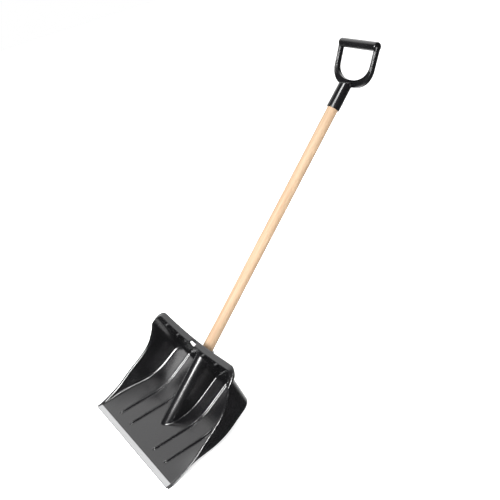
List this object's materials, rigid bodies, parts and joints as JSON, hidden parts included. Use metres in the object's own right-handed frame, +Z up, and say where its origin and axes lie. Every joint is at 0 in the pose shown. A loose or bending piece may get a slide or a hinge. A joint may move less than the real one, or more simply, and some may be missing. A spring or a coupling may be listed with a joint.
{
  "type": "snow shovel",
  "caption": "Wide black plastic scoop with a metal edge strip, a round wooden shaft set at an angle in the scoop's socket, and a plastic D-grip at the top end.",
  "frame": {"origin": "on the flat underside of the scoop's pan, in the middle of its width, 90 mm behind the front edge", "axes": "+X across the scoop, +Y from the front edge towards the grip, +Z up from the ground that the flat pan lies on"},
  "size_m": [0.438, 0.9736, 0.7866],
  "materials": {
    "scoop_plastic": "glossy black moulded polypropylene",
    "grip_plastic": "satin black moulded polypropylene",
    "strip_metal": "bare, lightly brushed along its length",
    "rivet_metal": "bare",
    "screw_steel": "zinc plated",
    "shaft_wood": "sanded pale hardwood under thin clear varnish"
  },
  "bodies": {
    "root": {"scoop": "scoop_plastic", "edge_strip": "strip_metal", "strip_rivet_1": "rivet_metal", "strip_rivet_2": "rivet_metal", "strip_rivet_3": "rivet_metal", "strip_rivet_4": "rivet_metal", "strip_rivet_5": "rivet_metal", "shaft": "shaft_wood", "scoop_screw": "screw_steel", "d_grip": "grip_plastic", "grip_screw": "screw_steel"}
  },
  "joints": []
}
